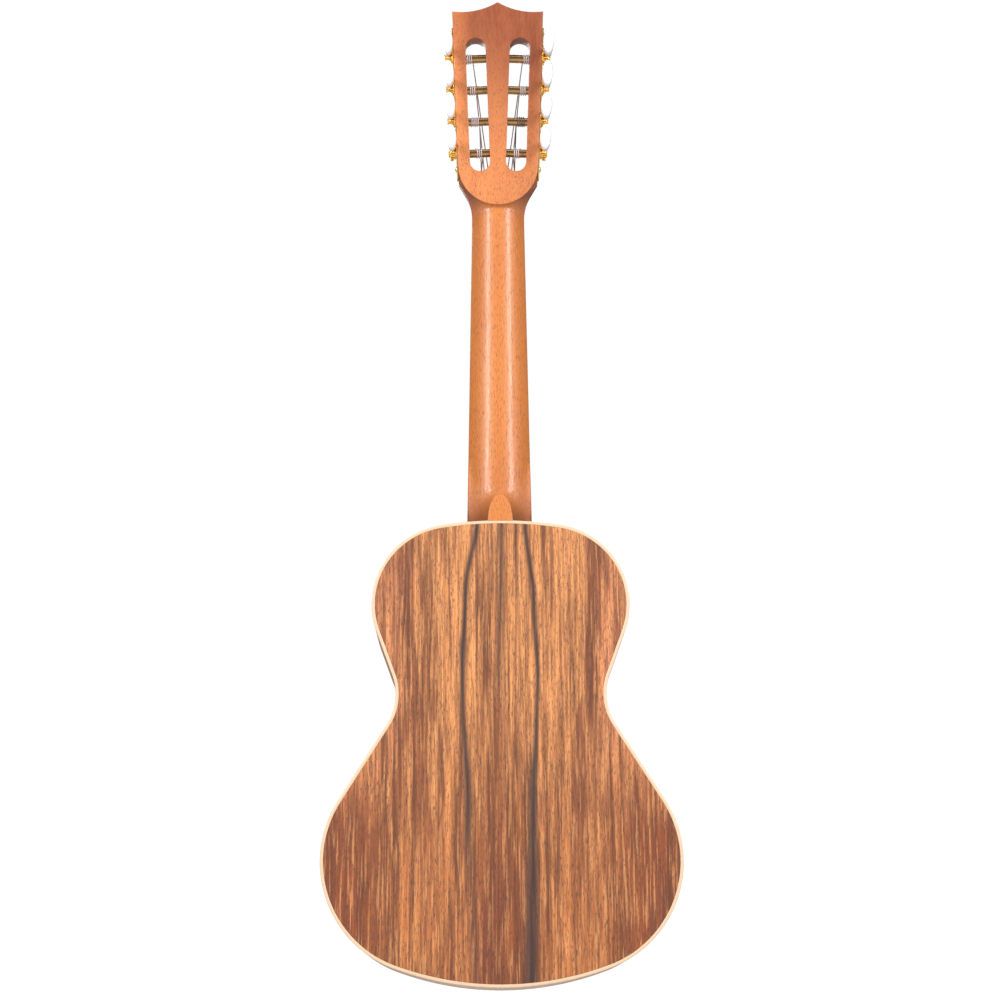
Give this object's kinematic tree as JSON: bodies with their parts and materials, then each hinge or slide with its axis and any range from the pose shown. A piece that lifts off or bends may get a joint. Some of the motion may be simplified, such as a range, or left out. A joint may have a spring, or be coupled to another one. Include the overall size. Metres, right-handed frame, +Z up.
{
  "type": "eight-string ukulele",
  "caption": "Flat-backed plucked instrument with a figure-of-eight body, fretted neck, slotted head and geared string tuners that turn.",
  "frame": {"origin": "middle of the nut's fretboard-side edge, on the glue plane of fretboard and neck, which is also the soundboard's outer face; a wall hanger holds the head just above it", "axes": "+Z up along the neck to the head, -Y out of the soundboard, +Y out of the back, +X to the right seen from the front"},
  "size_m": [0.2336, 0.079, 0.6974],
  "materials": {
    "back_wood": "figured, satin varnish",
    "side_wood": "figured, satin varnish",
    "soundboard_wood": "satin varnish",
    "binding": "cream, polished",
    "inner_wood": "bare",
    "dark_wood": "oiled",
    "bone": "polished",
    "rosette_inlay": "polished",
    "fret_wire": "polished",
    "pearl": "pearl",
    "neck_wood": "satin",
    "veneer_wood": "satin",
    "gold_plate": "gold plated",
    "gold_screw": "gold plated",
    "gold_gear": "gold plated",
    "roller_metal": "worn gold plate",
    "nylon": "clear nylon"
  },
  "bodies": {
    "instrument": {"back_left": "back_wood", "back_right": "back_wood", "soundboard_left": "soundboard_wood", "soundboard_right": "soundboard_wood", "side_left": "side_wood", "side_right": "side_wood", "top_binding": "binding", "back_binding": "binding", "neck_block": "inner_wood", "tail_block": "inner_wood", "top_linings": "inner_wood", "back_linings": "inner_wood", "top_braces": "inner_wood", "back_braces": "inner_wood", "bridge_plate": "inner_wood", "bridge": "dark_wood", "saddle": "bone", "rosette": "rosette_inlay", "fretboard": "dark_wood", "frets": "fret_wire", "fret_markers": "pearl", "nut": "bone", "neck": "neck_wood", "head_veneer": "veneer_wood", "tuner_plate_left": "gold_plate", "tuner_plate_right": "gold_plate", "plate_screws": "gold_screw", "strings": "nylon"},
    "button_1": {"worm_shaft_1": "gold_plate", "tuner_button_1": "pearl"},
    "roller_1": {"string_roller_1": "roller_metal", "gear_1": "gold_gear"},
    "button_2": {"worm_shaft_2": "gold_plate", "tuner_button_2": "pearl"},
    "roller_2": {"string_roller_2": "roller_metal", "gear_2": "gold_gear"},
    "button_3": {"worm_shaft_3": "gold_plate", "tuner_button_3": "pearl"},
    "roller_3": {"string_roller_3": "roller_metal", "gear_3": "gold_gear"},
    "button_4": {"worm_shaft_4": "gold_plate", "tuner_button_4": "pearl"},
    "roller_4": {"string_roller_4": "roller_metal", "gear_4": "gold_gear"},
    "button_5": {"worm_shaft_5": "gold_plate", "tuner_button_5": "pearl"},
    "roller_5": {"string_roller_5": "roller_metal", "gear_5": "gold_gear"},
    "button_6": {"worm_shaft_6": "gold_plate", "tuner_button_6": "pearl"},
    "roller_6": {"string_roller_6": "roller_metal", "gear_6": "gold_gear"},
    "button_7": {"worm_shaft_7": "gold_plate", "tuner_button_7": "pearl"},
    "roller_7": {"string_roller_7": "roller_metal", "gear_7": "gold_gear"},
    "button_8": {"worm_shaft_8": "gold_plate", "tuner_button_8": "pearl"},
    "roller_8": {"string_roller_8": "roller_metal", "gear_8": "gold_gear"}
  },
  "joints": [
    {"name": "button_1_turn", "type": "hinge", "parent": "instrument", "child": "button_1", "pos_m": [0.03351, 0.0185, 0.05019], "axis": [0, 0.9848, -0.1736], "continuous": true},
    {"name": "roller_1_turn", "type": "hinge", "parent": "instrument", "child": "roller_1", "pos_m": [0.02909, 0.01741, 0.04404], "axis": [0.9993, -0.0063, -0.0357], "continuous": true},
    {"name": "button_2_turn", "type": "hinge", "parent": "instrument", "child": "button_2", "pos_m": [0.03435, 0.02249, 0.07282], "axis": [0, 0.9848, -0.1736], "continuous": true},
    {"name": "roller_2_turn", "type": "hinge", "parent": "instrument", "child": "roller_2", "pos_m": [0.02992, 0.0214, 0.06667], "axis": [0.9993, -0.0063, -0.0357], "continuous": true},
    {"name": "button_3_turn", "type": "hinge", "parent": "instrument", "child": "button_3", "pos_m": [0.03518, 0.02648, 0.09546], "axis": [0, 0.9848, -0.1737], "continuous": true},
    {"name": "roller_3_turn", "type": "hinge", "parent": "instrument", "child": "roller_3", "pos_m": [0.03075, 0.02539, 0.08931], "axis": [0.9993, -0.0063, -0.0357], "continuous": true},
    {"name": "button_4_turn", "type": "hinge", "parent": "instrument", "child": "button_4", "pos_m": [0.03601, 0.03047, 0.11809], "axis": [0, 0.9848, -0.1737], "continuous": true},
    {"name": "roller_4_turn", "type": "hinge", "parent": "instrument", "child": "roller_4", "pos_m": [0.03158, 0.02939, 0.11194], "axis": [0.9993, -0.0063, -0.0356], "continuous": true},
    {"name": "button_5_turn", "type": "hinge", "parent": "instrument", "child": "button_5", "pos_m": [-0.03351, 0.0185, 0.05019], "axis": [0, 0.9848, -0.1736], "continuous": true},
    {"name": "roller_5_turn", "type": "hinge", "parent": "instrument", "child": "roller_5", "pos_m": [-0.02909, 0.01741, 0.04404], "axis": [-0.9993, -0.0063, -0.0357], "continuous": true},
    {"name": "button_6_turn", "type": "hinge", "parent": "instrument", "child": "button_6", "pos_m": [-0.03435, 0.02249, 0.07282], "axis": [0, 0.9848, -0.1736], "continuous": true},
    {"name": "roller_6_turn", "type": "hinge", "parent": "instrument", "child": "roller_6", "pos_m": [-0.02992, 0.0214, 0.06667], "axis": [-0.9993, -0.0063, -0.0357], "continuous": true},
    {"name": "button_7_turn", "type": "hinge", "parent": "instrument", "child": "button_7", "pos_m": [-0.03518, 0.02648, 0.09546], "axis": [0, 0.9848, -0.1737], "continuous": true},
    {"name": "roller_7_turn", "type": "hinge", "parent": "instrument", "child": "roller_7", "pos_m": [-0.03075, 0.02539, 0.08931], "axis": [-0.9993, -0.0063, -0.0357], "continuous": true},
    {"name": "button_8_turn", "type": "hinge", "parent": "instrument", "child": "button_8", "pos_m": [-0.03601, 0.03047, 0.11809], "axis": [0, 0.9848, -0.1737], "continuous": true},
    {"name": "roller_8_turn", "type": "hinge", "parent": "instrument", "child": "roller_8", "pos_m": [-0.03158, 0.02939, 0.11194], "axis": [-0.9993, -0.0063, -0.0356], "continuous": true}
  ],
  "couplings": [
    {"joint": "roller_1_turn", "follows": "button_1_turn", "ratio": 0.071429},
    {"joint": "roller_2_turn", "follows": "button_2_turn", "ratio": 0.071429},
    {"joint": "roller_3_turn", "follows": "button_3_turn", "ratio": 0.071429},
    {"joint": "roller_4_turn", "follows": "button_4_turn", "ratio": 0.071429},
    {"joint": "roller_5_turn", "follows": "button_5_turn", "ratio": 0.071429},
    {"joint": "roller_6_turn", "follows": "button_6_turn", "ratio": 0.071429},
    {"joint": "roller_7_turn", "follows": "button_7_turn", "ratio": 0.071429},
    {"joint": "roller_8_turn", "follows": "button_8_turn", "ratio": 0.071429}
  ]
}
